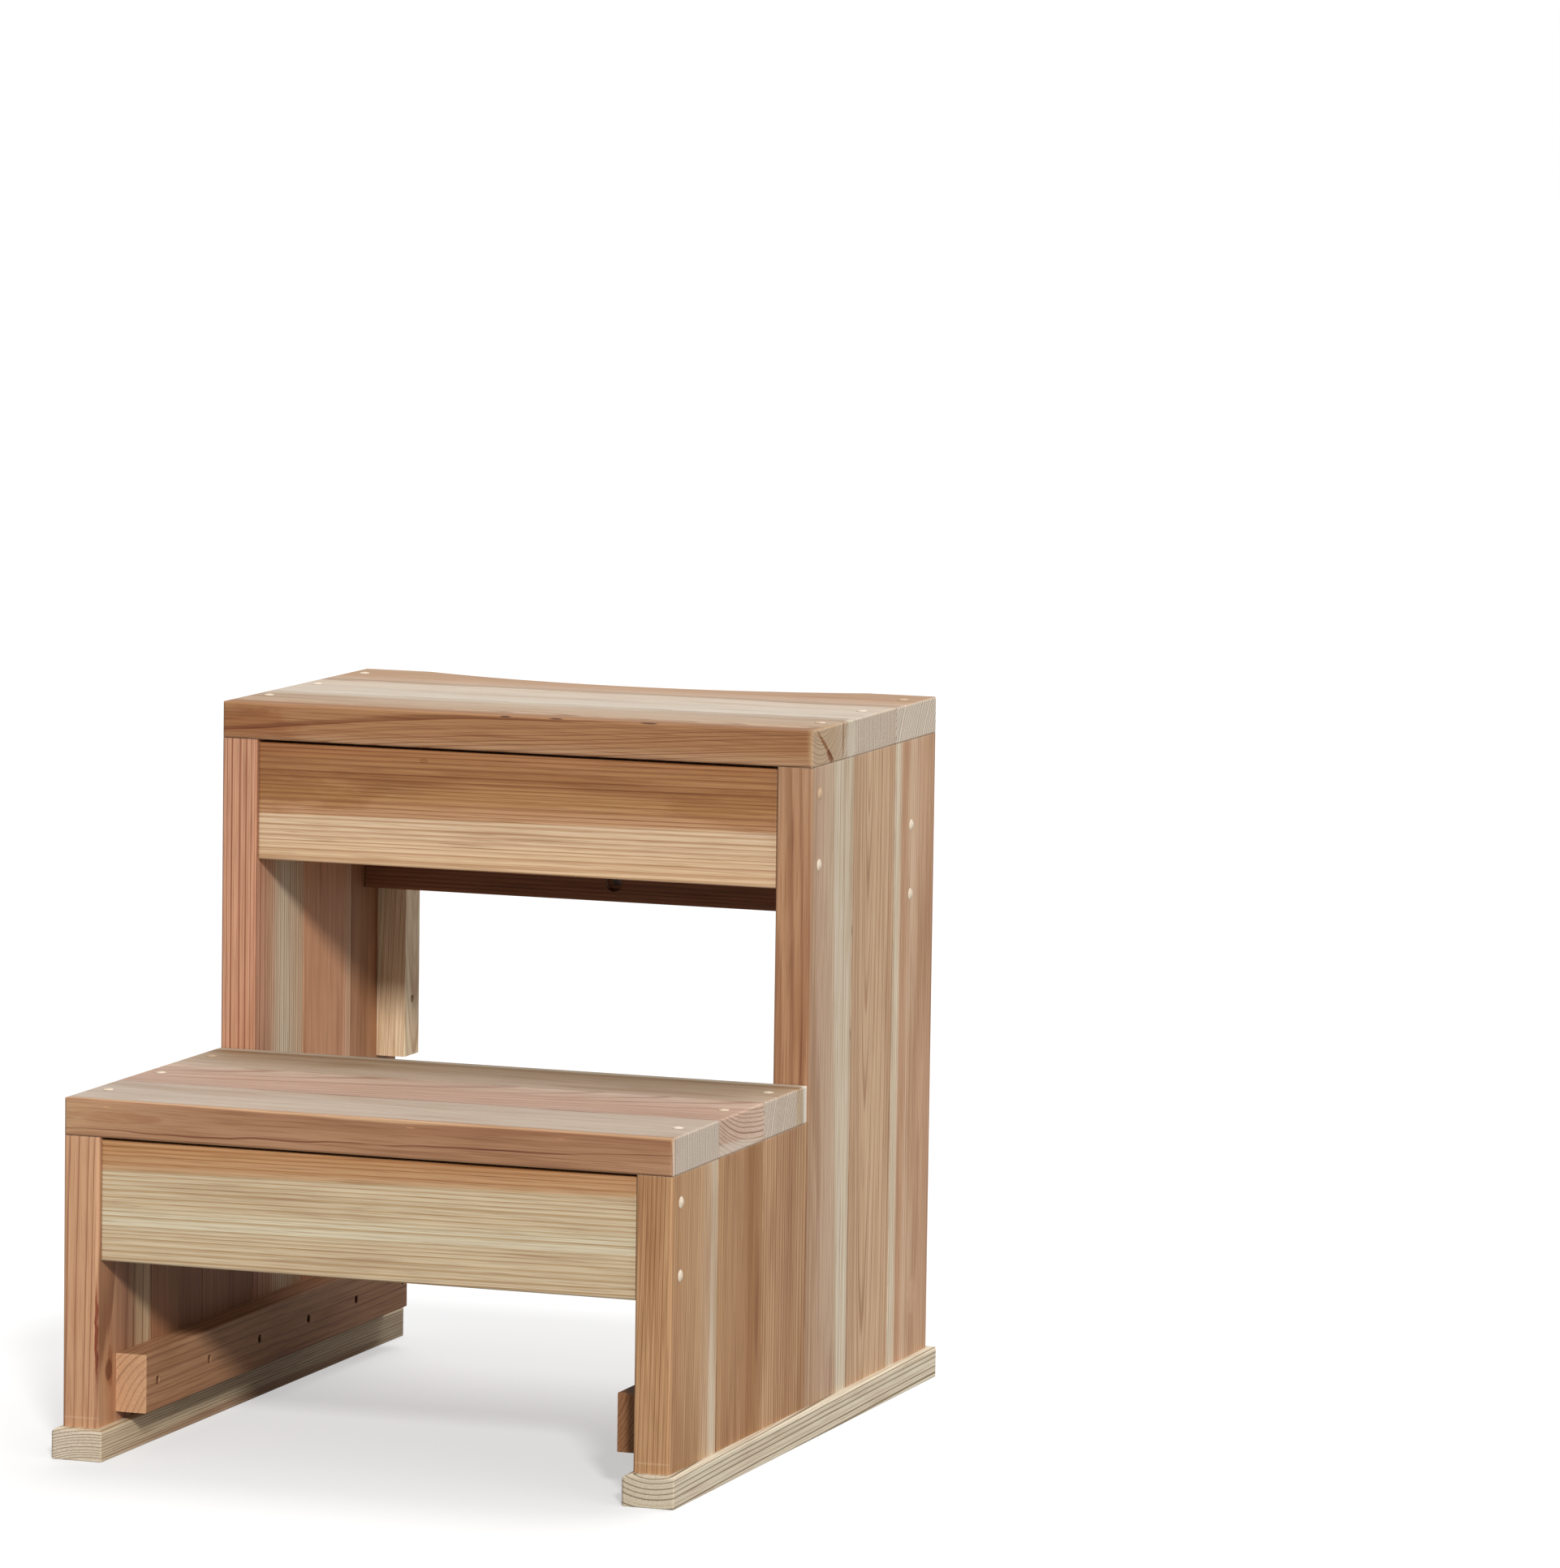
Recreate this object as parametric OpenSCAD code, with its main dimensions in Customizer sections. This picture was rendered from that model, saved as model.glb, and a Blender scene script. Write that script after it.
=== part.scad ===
// Two-step cedar spa steps: jointed side panels, plank treads, aprons, a set-forward rear rail and base runners.
// Millimetres. X runs to the right, Y to the back and Z up. The origin is under the middle, on the ground.

/* [Overall] */
// Width across the two side panels, which is also the length of each tread
step_w = 643; // [560:1:760]
// Height of the lower tread's top above the ground
lower_rise = 362; // [320:1:390]
// Height of the upper tread's top above the lower one
upper_rise = 359; // [330:1:390]

/* [Boards] */
// Thickness of every board
board_t = 38; // [34:1:42]
// Face width of every tread and panel board
board_w = 130; // [120:1:145]
// Radius of the eased edges that a foot or a hand meets
eased_r = 3.5; // [1.5:0.5:5]
// Radius of the sanded edges along the seams
seam_r = 1; // [0.5:0.25:1.5]

/* [Aprons and rear rail] */
// Height of the aprons and of the rear rail
apron_h = 121; // [100:1:130]
// Distance of an apron's face behind the panels' front edges
apron_recess = 4.5; // [2:0.5:12]
// Open gap between an apron and the tread above it
apron_drop = 3; // [1:0.5:6]
// Distance from the front of the panels to the front of the rear rail
rail_front = 683; // [660:1:690]
// Height of the rear rail's lower edge
rail_bottom = 497.5; // [485:0.5:510]

/* [Fit to the tub] */
// Radius of the round cut in the upper tread's back edge, a little over the tub's own
tub_cut_r = 640; // [560:5:900]
// Distance from the front of the panels to the nearest point of that cut
tub_cut_front = 727; // [724:1:760]

/* [Tub bolt hole] */
// Diameter of the through hole for the bolt into the tub
bolt_d = 9.5; // [8:0.25:12]
// Diameter of the counterbore for its washer
washer_d = 20; // [16:0.5:26]
// Depth of the counterbore
washer_depth = 9; // [5:0.5:15]
// Height of the hole above the rear rail's lower edge
bolt_up = 21; // [18:0.5:60]

/* [Base runners] */
// Height of the runners under the side panels
runner_h = 32; // [25:1:38]
// How far a runner stands out past each face of its panel
runner_side = 8.5; // [4:0.5:14]
// How far a runner stands out past the front and the back of its panel
runner_end = 9.5; // [4:0.5:14]
// Radius of the runner's one heavily rounded long edge, its upper left one
runner_nose_r = 9; // [4:0.5:14]
// Radius of its other rounded edges
runner_r = 4; // [2:0.5:8]

/* [Cleats] */
// Thickness of the cleats inside the panels
cleat_t = 33; // [25:1:38]
// Height of the bottom cleats
bottom_cleat_h = 59; // [40:1:60]
// Gap between a runner and the bottom cleat above it
bottom_cleat_up = 10; // [2:1:14]
// Distance of the bottom cleats' ends from the panel's front and back
bottom_cleat_in = 45; // [20:1:60]
// Width of the upright rear cleats
rear_cleat_w = 40; // [30:1:44]
// Distance from the panel's back edge to the rear cleat
rear_cleat_in = 18; // [12:1:20]
// Height of the rear cleats' lower end
rear_cleat_bottom = 313; // [250:1:340]
// How far the bottom cleats' screws sit behind the middle of their boards
cleat_screw_back = 8; // [0:1:15]

/* [Plugs and screws] */
// Diameter of the wooden plugs over the screws
plug_d = 12.5; // [10:0.5:14]
// How far a plug's rounded top stands proud of the wood
plug_proud = 1.6; // [0.5:0.1:2]
// Depth of the plug holes
plug_hole = 12; // [10:0.5:14]
// How far the upper tread's plugs sit behind the middle of their boards
upper_plug_back = 12; // [0:1:20]
// Length of the structural screws
screw_len = 65; // [60:1:70]
// Shank diameter of the screws
screw_d = 5; // [4:0.25:6]
// Spacing of the two screws in each end of an apron or rail
pair_gap = 72; // [50:1:80]

/* [Hidden] */
$fn = 48;

LEFT = -1;
RIGHT = 1;
EPS = 0.01;                         // overshoot of a cutter past the face that it opens
FIT = 0.05;                         // clearance round a screw or a plug
tread_boards = 3;                   // boards in each tread
tread_depth = tread_boards * board_w;
panel_depth = 2 * tread_depth;
front = -panel_depth / 2;           // Y of the side panels' front edge
back = panel_depth / 2;             // Y of their back edge
inner_w = step_w - 2 * board_t;     // clear width between the panels
panel_x = step_w / 2 - board_t / 2; // X of a panel's middle plane
upper_top = lower_rise + upper_rise;
bottom_cleat_z = runner_h + bottom_cleat_up;
head_d = plug_d - 2;                // head of the screws under the plugs
head_h = 3.5;
small_head_d = 8.5;                 // head of the cleat and runner screws
small_hole_d = 9;                   // counterbore that hides it
cleat_sink = 8;                     // depth of the cleat screws' counterbores
cleat_screw_len = 50;
runner_sink = 6;
runner_screw_len = 55;
rear_screws = [60, 185, 310];       // heights of the rear cleat's screws above its lower end

// Middle of panel board i in Y, where board 1 is the front one.
function board_y(i) = front + (i - 0.5) * board_w;
// Height of the top of panel board i: the first three carry the lower tread.
function board_top(i) = (i <= tread_boards ? lower_rise : upper_top) - board_t;
// Height of an apron's middle under the tread whose top is at the given height.
function apron_z(top) = top - board_t - apron_drop - apron_h / 2;
// Middle of an apron or rail in Y, given the Y of its front face.
function plank_y(face) = face + board_t / 2;
// Both screw heights of an apron or rail whose middle is at z.
function pair_z(z) = [z - pair_gap / 2, z + pair_gap / 2];

lower_apron_y = plank_y(front + apron_recess);
upper_apron_y = plank_y(apron_recess);
rail_y = plank_y(front + rail_front);
rail_z = rail_bottom + apron_h / 2;
rear_cleat_y = back - rear_cleat_in - rear_cleat_w / 2;
bolt_z = rail_bottom + bolt_up;

// Y of the plugs in board k, from 1 to 3, of the lower and the upper tread.
function lower_plug_y(k) = board_y(k);
function upper_plug_y(k) = board_y(k + tread_boards) + upper_plug_back;

// [Y, Z] of the screws that come through each side panel, and the colours of the wood.
side_screws = concat(
    [for (z = pair_z(apron_z(lower_rise))) [lower_apron_y, z]],
    [for (z = pair_z(apron_z(upper_top))) [upper_apron_y, z]],
    [for (z = pair_z(rail_z)) [rail_y, z]]
);
pinkish = [0.80, 0.61, 0.48];
brown = [0.68, 0.48, 0.33];
cream = [0.86, 0.76, 0.58];
steel = [0.62, 0.62, 0.60];

// ---- shared shapes ----

// Rectangle from [0, 0] to [w, h] whose corners are rounded: radii for the lower left, lower right, upper right, upper left.
module soft_rect(w, h, radii) {
    corners = [[0, 0], [w, 0], [w, h], [0, h]];
    turns = [0, 90, 180, 270];
    difference() {
        square([w, h]);
        for (i = [0 : 3])
            translate(corners[i])
                rotate(turns[i])
                    difference() {
                        translate([-EPS, -EPS])
                            square(radii[i] + EPS);
                        translate([radii[i], radii[i]])
                            circle(r = radii[i]);
                    }
    }
}

// Board along X, centred on X, from [0, 0] in Y and Z. radii: front bottom, back bottom, back top, front top edge.
module lengthwise_board(len, w, h, radii, end_r) {
    intersection() {
        translate([-len / 2, 0, 0])
            rotate([90, 0, 90])
                linear_extrude(len)
                    soft_rect(w, h, radii);
        translate([-len / 2, w, 0])
            rotate([90, 0, 0])
                linear_extrude(w)
                    soft_rect(len, h, [end_r, end_r, end_r, end_r]);
        translate([-len / 2, 0, 0])
            linear_extrude(h)
                soft_rect(len, w, [radii[0], radii[0], radii[1], radii[1]]);
    }
}

// Screw whose head's top is at the origin and whose point is at -Z.
module wood_screw(len, head, shank = screw_d) {
    difference() {
        rotate_extrude()
            polygon([
                [0, 0], [head / 2 - 0.6, 0], [head / 2, -0.6], [head / 2, -head_h],
                [shank / 2, -head_h], [shank / 2, -len + 1.5 * shank], [0.3, -len], [0, -len]
            ]);
        translate([0, 0, -2])
            cylinder(d = 4, h = 2 + EPS, $fn = 6);
    }
}

// Stepped hole for that screw and for what covers its head, from the origin down.
module screw_hole(len, wide, sink, shank = screw_d) {
    translate([0, 0, -sink])
        cylinder(d = wide, h = sink + EPS);
    translate([0, 0, -sink - len + head_h])
        cylinder(d = shank + 2 * FIT, h = len - head_h + EPS);
}

// Domed plug that stands in its hole with its rounded top above z = 0.
module plug() {
    r = plug_d / 2 - FIT;
    body = plug_hole - head_h;
    ball = (r * r + plug_proud * plug_proud) / (2 * plug_proud);
    intersection() {
        translate([0, 0, -body])
            cylinder(r = r, h = body + plug_proud);
        translate([0, 0, plug_proud - ball])
            sphere(r = ball, $fn = 96);
    }
}

// Places its children at the outer face of the panel on one side, with +Z pointing outwards.
module at_outer_face(side, y, z) {
    translate([side * step_w / 2, y, z])
        rotate([0, side * 90, 0])
            children();
}

// Places its children at the inner face of a cleat on one side, with +Z pointing to the middle.
module at_cleat_face(side, y, z) {
    translate([side * (inner_w / 2 - cleat_t), y, z])
        rotate([0, -side * 90, 0])
            children();
}

// ---- side panels ----

module all_screw_holes(side) {
    for (k = [1 : tread_boards]) {
        translate([side * panel_x, lower_plug_y(k), lower_rise])
            screw_hole(screw_len, plug_d, plug_hole);
        translate([side * panel_x, upper_plug_y(k), upper_top])
            screw_hole(screw_len, plug_d, plug_hole);
    }
    for (p = side_screws)
        at_outer_face(side, p[0], p[1])
            screw_hole(screw_len, plug_d, plug_hole);
    for (i = [1 : 2 * tread_boards]) {
        at_cleat_face(side, board_y(i) + cleat_screw_back, bottom_cleat_z + bottom_cleat_h / 2)
            screw_hole(cleat_screw_len, small_hole_d, cleat_sink);
        translate([side * panel_x, board_y(i), 0])
            rotate([180, 0, 0])
                screw_hole(runner_screw_len, small_hole_d, runner_sink);
    }
    for (z = rear_screws)
        at_cleat_face(side, rear_cleat_y, rear_cleat_bottom + z)
            screw_hole(cleat_screw_len, small_hole_d, cleat_sink);
}

// Upright stretch of a panel board in the panel's own X, from z0 to z1, with the radius of its front and back edges.
module upright(z0, z1, front_r, back_r) {
    translate([-board_t / 2, 0, z0])
        linear_extrude(z1 - z0)
            soft_rect(board_t, board_w, [front_r, front_r, back_r, back_r]);
}

// Board i of the panel on one side. Only the edges that are left open are eased.
module side_board(side, i) {
    tall = i > tread_boards;
    back_r = i == 2 * tread_boards ? eased_r : seam_r;
    color(i % 2 == 0 ? brown : pinkish)
        difference() {
            translate([side * panel_x, board_y(i) - board_w / 2, 0]) {
                upright(runner_h, board_top(tall ? 1 : i), i == 1 ? eased_r : seam_r, back_r);
                if (tall)
                    upright(board_top(1), board_top(i), i == tread_boards + 1 ? eased_r : seam_r, back_r);
            }
            all_screw_holes(side);
        }
}

// ---- treads ----

// Board k, from 1 at the front to 3 at the back, of the tread whose front is at y and whose top is at z.
module tread_board(k, y, z) {
    front_r = k == 1 ? eased_r : seam_r;
    back_r = k == tread_boards ? eased_r : seam_r;
    difference() {
        translate([0, y + (k - 1) * board_w, z - board_t])
            lengthwise_board(step_w, board_w, board_t, [front_r, back_r, back_r, front_r], seam_r + 1);
        all_screw_holes(LEFT);
        all_screw_holes(RIGHT);
    }
}

module lower_tread_board(k) {
    tread_board(k, front, lower_rise);
}

module upper_tread_board(k) {
    tread_board(k, 0, upper_top);
}

// Back board of the upper tread, cut to an arc that fits round the tub.
module upper_tread_back_board() {
    color(pinkish)
        difference() {
            upper_tread_board(tread_boards);
            translate([0, front + tub_cut_front + tub_cut_r, upper_top - board_t - 1])
                cylinder(r = tub_cut_r, h = board_t + 2, $fn = 360);
        }
}

// ---- aprons and rail ----

// Plank between the panels with its front face at y and its lower edge at z.
module cross_plank(y, z) {
    r = eased_r - 0.5;
    difference() {
        translate([0, y, z])
            lengthwise_board(inner_w, board_t, apron_h, [r, r, r, r], seam_r);
        all_screw_holes(LEFT);
        all_screw_holes(RIGHT);
    }
}

module lower_apron() {
    color(cream)
        cross_plank(lower_apron_y - board_t / 2, apron_z(lower_rise) - apron_h / 2);
}

module upper_apron() {
    color(brown)
        cross_plank(upper_apron_y - board_t / 2, apron_z(upper_top) - apron_h / 2);
}

module rear_rail() {
    color(brown)
        difference() {
            cross_plank(rail_y - board_t / 2, rail_bottom);
            translate([0, rail_y - board_t / 2, bolt_z])
                rotate([-90, 0, 0]) {
                    translate([0, 0, -EPS])
                        cylinder(d = washer_d, h = washer_depth + EPS);
                    cylinder(d = bolt_d, h = board_t + EPS);
                }
        }
}

// ---- runners and cleats ----

// Runner of one stock for both sides, so its nose is on the left on both. Its end edges are rounded too.
module base_runner(side) {
    w = board_t + 2 * runner_side;
    len = panel_depth + 2 * runner_end;
    color(cream)
        difference() {
            translate([side * panel_x - w / 2, 0, 0])
                intersection() {
                    translate([0, len / 2, 0])
                        rotate([90, 0, 0])
                            linear_extrude(len)
                                soft_rect(w, runner_h, [runner_r, seam_r, runner_r, runner_nose_r]);
                    rotate([90, 0, 90])
                        translate([-len / 2, 0, 0])
                            linear_extrude(w)
                                soft_rect(len, runner_h, [seam_r, seam_r, runner_r, runner_r]);
                    translate([0, -len / 2, 0])
                        linear_extrude(runner_h)
                            soft_rect(w, len, [runner_r, seam_r, runner_r, runner_r]);
                }
            all_screw_holes(side);
        }
}

// Square-edged cleat, lightly sanded, with its lower front corner on the panel at y, z.
module cleat(side, y, z, depth, height) {
    along_y = depth > height;
    difference() {
        translate([side * inner_w / 2 - (side > 0 ? cleat_t : 0), y, z])
            if (along_y)
                translate([0, depth, 0])
                    rotate([90, 0, 0])
                        linear_extrude(depth)
                            soft_rect(cleat_t, height, [seam_r, seam_r, seam_r, seam_r]);
            else
                linear_extrude(height)
                    soft_rect(cleat_t, depth, [seam_r, seam_r, seam_r, seam_r]);
        all_screw_holes(side);
    }
}

module bottom_cleat(side) {
    color(brown)
        cleat(side, front + bottom_cleat_in, bottom_cleat_z, panel_depth - 2 * bottom_cleat_in, bottom_cleat_h);
}

module rear_cleat(side) {
    color(cream)
        cleat(side, rear_cleat_y - rear_cleat_w / 2, rear_cleat_bottom,
              rear_cleat_w, upper_top - board_t - rear_cleat_bottom);
}

// ---- plugs and screws ----

module lower_tread_plugs() {
    color(cream)
        for (side = [LEFT, RIGHT], k = [1 : tread_boards])
            translate([side * panel_x, lower_plug_y(k), lower_rise])
                plug();
}

module upper_tread_plugs() {
    color(cream)
        for (side = [LEFT, RIGHT], k = [1 : tread_boards])
            translate([side * panel_x, upper_plug_y(k), upper_top])
                plug();
}

module side_plugs(side) {
    color(cream)
        for (p = side_screws)
            at_outer_face(side, p[0], p[1])
                plug();
}

module tread_screws() {
    color(steel)
        for (side = [LEFT, RIGHT], k = [1 : tread_boards]) {
            translate([side * panel_x, lower_plug_y(k), lower_rise - plug_hole + head_h])
                wood_screw(screw_len, head_d);
            translate([side * panel_x, upper_plug_y(k), upper_top - plug_hole + head_h])
                wood_screw(screw_len, head_d);
        }
}

// Screws with the given numbers in side_screws, on both sides.
module panel_screws(numbers) {
    color(steel)
        for (side = [LEFT, RIGHT], n = numbers)
            at_outer_face(side, side_screws[n][0], side_screws[n][1])
                translate([0, 0, -plug_hole + head_h])
                    wood_screw(screw_len, head_d);
}

module apron_screws() {
    panel_screws([0, 1, 2, 3]);
}

module rail_screws() {
    panel_screws([4, 5]);
}

module bottom_cleat_screws() {
    color(steel)
        for (side = [LEFT, RIGHT], i = [1 : 2 * tread_boards])
            at_cleat_face(side, board_y(i) + cleat_screw_back, bottom_cleat_z + bottom_cleat_h / 2)
                translate([0, 0, -cleat_sink + head_h])
                    wood_screw(cleat_screw_len, small_head_d);
}

module rear_cleat_screws() {
    color(steel)
        for (side = [LEFT, RIGHT], z = rear_screws)
            at_cleat_face(side, rear_cleat_y, rear_cleat_bottom + z)
                translate([0, 0, -cleat_sink + head_h])
                    wood_screw(cleat_screw_len, small_head_d);
}

module runner_screws() {
    color(steel)
        for (side = [LEFT, RIGHT], i = [1 : 2 * tread_boards])
            translate([side * panel_x, board_y(i), runner_sink - head_h])
                rotate([180, 0, 0])
                    wood_screw(runner_screw_len, small_head_d);
}

// ---- the assembly ----

side_board(LEFT, 1);  // left_side_board_1
side_board(LEFT, 2);  // left_side_board_2
side_board(LEFT, 3);  // left_side_board_3
side_board(LEFT, 4);  // left_side_board_4
side_board(LEFT, 5);  // left_side_board_5
side_board(LEFT, 6);  // left_side_board_6
side_board(RIGHT, 1);  // right_side_board_1
side_board(RIGHT, 2);  // right_side_board_2
side_board(RIGHT, 3);  // right_side_board_3
side_board(RIGHT, 4);  // right_side_board_4
side_board(RIGHT, 5);  // right_side_board_5
side_board(RIGHT, 6);  // right_side_board_6
color(pinkish) lower_tread_board(1);  // lower_tread_front_board
color(pinkish) lower_tread_board(2);  // lower_tread_middle_board
color(pinkish) lower_tread_board(3);  // lower_tread_back_board
color(brown) upper_tread_board(1);  // upper_tread_front_board
color(cream) upper_tread_board(2);  // upper_tread_middle_board
upper_tread_back_board();
lower_apron();
upper_apron();
rear_rail();
base_runner(LEFT);  // left_base_runner
base_runner(RIGHT);  // right_base_runner
bottom_cleat(LEFT);  // left_bottom_cleat
bottom_cleat(RIGHT);  // right_bottom_cleat
rear_cleat(LEFT);  // left_rear_cleat
rear_cleat(RIGHT);  // right_rear_cleat
lower_tread_plugs();
upper_tread_plugs();
side_plugs(LEFT);  // left_side_plugs
side_plugs(RIGHT);  // right_side_plugs
tread_screws();
apron_screws();
rail_screws();
bottom_cleat_screws();
rear_cleat_screws();
runner_screws();
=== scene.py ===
"""Looks of the cedar spa steps: every board gets its own solid wood, cut from its own place in a log.

X runs to the right, Y to the back and Z up, in metres. Wood is described in a board's own millimetres:
along its length, across its wide face and through its thickness, all from the board's middle.
"""

import math
from dataclasses import dataclass

import bmesh
import bpy
from mathutils import Matrix, Vector


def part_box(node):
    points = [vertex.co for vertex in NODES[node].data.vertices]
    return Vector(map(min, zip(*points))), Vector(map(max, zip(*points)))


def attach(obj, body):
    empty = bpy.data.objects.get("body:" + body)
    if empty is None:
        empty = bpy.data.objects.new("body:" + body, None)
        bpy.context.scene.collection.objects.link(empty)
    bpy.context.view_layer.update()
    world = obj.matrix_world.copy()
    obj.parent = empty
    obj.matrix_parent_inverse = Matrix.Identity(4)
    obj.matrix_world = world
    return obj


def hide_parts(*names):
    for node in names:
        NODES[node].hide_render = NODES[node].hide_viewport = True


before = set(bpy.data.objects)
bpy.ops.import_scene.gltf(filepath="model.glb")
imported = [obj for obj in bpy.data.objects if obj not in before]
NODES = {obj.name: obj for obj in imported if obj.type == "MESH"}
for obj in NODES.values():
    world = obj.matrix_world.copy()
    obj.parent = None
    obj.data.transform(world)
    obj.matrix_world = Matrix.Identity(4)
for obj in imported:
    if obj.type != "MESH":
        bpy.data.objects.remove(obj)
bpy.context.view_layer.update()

MM = 0.001
AXES = {"X": 0, "Y": 1, "Z": 2}


def srgb(r, g, b):
    """Linear colour with alpha from 0 to 255 display values."""
    linear = []
    for value in (r, g, b):
        c = value / 255
        linear.append(c / 12.92 if c <= 0.04045 else ((c + 0.055) / 1.055) ** 2.4)
    return (*linear, 1.0)


# ---- node helpers ----

class Net:
    """Short ways to add nodes to one tree. A value may be a socket or a number."""

    def __init__(self, tree):
        self.tree = tree

    def node(self, kind, **settings):
        made = self.tree.nodes.new(kind)
        for name, value in settings.items():
            setattr(made, name, value)
        return made

    def feed(self, socket, value):
        if isinstance(value, bpy.types.NodeSocket):
            self.tree.links.new(value, socket)
        elif value is not None:
            socket.default_value = value

    def feed_all(self, made, *values):
        for socket, value in zip(made.inputs, values):
            self.feed(socket, value)
        return made.outputs

    def math(self, operation, a, b=None, c=None, clamp=False):
        made = self.node("ShaderNodeMath", operation=operation, use_clamp=clamp)
        return self.feed_all(made, a, b, c)[0]

    def add(self, total, *others):
        for value in others:
            total = self.math("ADD", total, value)
        return total

    def sub(self, a, b):
        return self.math("SUBTRACT", a, b)

    def mul(self, product, *others):
        for value in others:
            product = self.math("MULTIPLY", product, value)
        return product

    def vector(self, operation, a, b=None):
        return self.feed_all(self.node("ShaderNodeVectorMath", operation=operation), a, b)[0]

    def split(self, vector):
        return self.feed_all(self.node("ShaderNodeSeparateXYZ"), vector)

    def join(self, x, y, z):
        return self.feed_all(self.node("ShaderNodeCombineXYZ"), x, y, z)[0]

    def step(self, value, low, high, to_low=0.0, to_high=1.0):
        """Smooth change from to_low to to_high while value goes from low to high."""
        made = self.node("ShaderNodeMapRange", interpolation_type="SMOOTHSTEP")
        return self.feed_all(made, value, low, high, to_low, to_high)[0]

    def noise(self, vector, detail=2.0, roughness=0.5, scale=1.0):
        """Value and colour of a soft noise."""
        made = self.node("ShaderNodeTexNoise", noise_dimensions="3D")
        self.feed(made.inputs["Vector"], vector)
        self.feed(made.inputs["Scale"], scale)
        self.feed(made.inputs["Detail"], detail)
        self.feed(made.inputs["Roughness"], roughness)
        return made.outputs

    def stretched(self, vector, pace, detail, roughness=0.5):
        """Noise that changes at a pace of its own in each direction."""
        return self.noise(self.vector("MULTIPLY", vector, pace), detail, roughness)

    def noise_1d(self, value):
        made = self.node("ShaderNodeTexNoise", noise_dimensions="1D")
        self.feed(made.inputs["W"], value)
        self.feed(made.inputs["Scale"], 1.0)
        self.feed(made.inputs["Detail"], 1.0)
        return made.outputs[0]

    def white(self, value):
        made = self.node("ShaderNodeTexWhiteNoise", noise_dimensions="1D")
        self.feed(made.inputs["W"], value)
        return made.outputs[0]

    def centred(self, noise):
        """A noise's colour as three values round zero."""
        return self.split(self.vector("SUBTRACT", noise[1], (0.5, 0.5, 0.5)))

    def mix(self, factor, a, b, blend="MIX"):
        made = self.node("ShaderNodeMix", data_type="RGBA", blend_type=blend, clamp_factor=True)
        self.feed(made.inputs[0], factor)
        self.feed(made.inputs[6], a)
        self.feed(made.inputs[7], b)
        return made.outputs[2]

    def tinted(self, factor, colour, tint, blend="MULTIPLY"):
        """The colour, multiplied by a tint or with the tint added, as far as factor says."""
        return self.mix(factor, colour, self.mix(1.0, colour, srgb(*tint), blend))

    def ramp(self, value, stops):
        made = self.node("ShaderNodeValToRGB")
        made.color_ramp.interpolation = "EASE"
        elements = made.color_ramp.elements
        while len(elements) < len(stops):
            elements.new(0.5)
        for element, (place, colour) in zip(elements, stops):
            element.position = place
            element.color = colour
        self.feed(made.inputs[0], value)
        return made.outputs[0]

    def bump(self, height, strength, distance):
        made = self.node("ShaderNodeBump")
        made.inputs["Strength"].default_value = strength
        made.inputs["Distance"].default_value = distance
        self.feed(made.inputs["Height"], height)
        return made.outputs[0]


# ---- the wood itself ----

# What a board's wood can say of its rings and colour bands, and what holds where it says nothing.
FIGURE = {
    "Pith A": 0.0,            # centre of the log, across
    "Pith B": -300.0,         # and through the board
    "Slope A": 0.0,           # drift of that centre for each millimetre along
    "Slope B": 0.0,
    "Ring": 3.0,              # mean width of a growth ring
    "Sharp": 4.0,             # how thin the dark late wood is
    "Steady": 0.25,           # how alike the rings are, from 0 to 1
    "Wander": 5.0,            # how far the rings stray
    "Seed": 1.0,
    "Knot": (0.0, 0.0, 0.0),  # along, across and radius of a knot
    "Slant": 0.0,             # tilt of the colour bands through the thickness
    "Band drift": 0.0,        # drift of the bands for each millimetre along
}
# The same for its looks. Strengths go from 0 to 1.
LOOK = {
    "seams": (0, 0),          # whether its low and high edges are glued to a neighbour
    "contrast": 0.8,          # of the late wood
    "line": (178, 142, 114),  # tint of the late wood
    "fine": 0.7,              # fine lines between the rings
    "coarse": 0.5,            # long soft grain
    "mottle": 0.5,            # slow changes of tone
    "streaks": 0.25,          # thin resin streaks
    "end": (226, 216, 204),   # colour of the cut ends
    "end mix": 0.62,          # how far it hides the wood's own colour
    "end lines": 0.6,         # rings on the cut ends
    "hole shade": 0.0,        # how dark the painted shade inside bored holes is
    "marks": (),
}
# What the shader group is told of the point that it colours.
POINT = {
    "Place": "NodeSocketVector",  # millimetres along, across and through the board
    "Half": "NodeSocketVector",   # half the board's size the same ways
    "Facing": "NodeSocketFloat",  # how far the surface faces along the grain
}

# How quickly each noise changes along, across and through the board, for each millimetre.
SLOW_PACE = (0.0022, 0.011, 0.011)
QUICK_PACE = (0.007, 0.05, 0.05)
FIBRE_PACE = (0.014, 1.2, 1.2)
GRAIN_PACE = (0.0042, 0.40, 0.40)
TONE_PACE = (0.0034, 0.030, 0.030)
STREAK_PACE = (0.0075, 0.32, 0.32)
RAY_PACE = (0.4, 0.55, 2.6)
DIRT_PACE = (0.03, 0.01, 0.01)
EDGE_PACE = 0.05
BARK_PACE = 0.16
RING_PACE = 0.045

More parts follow.
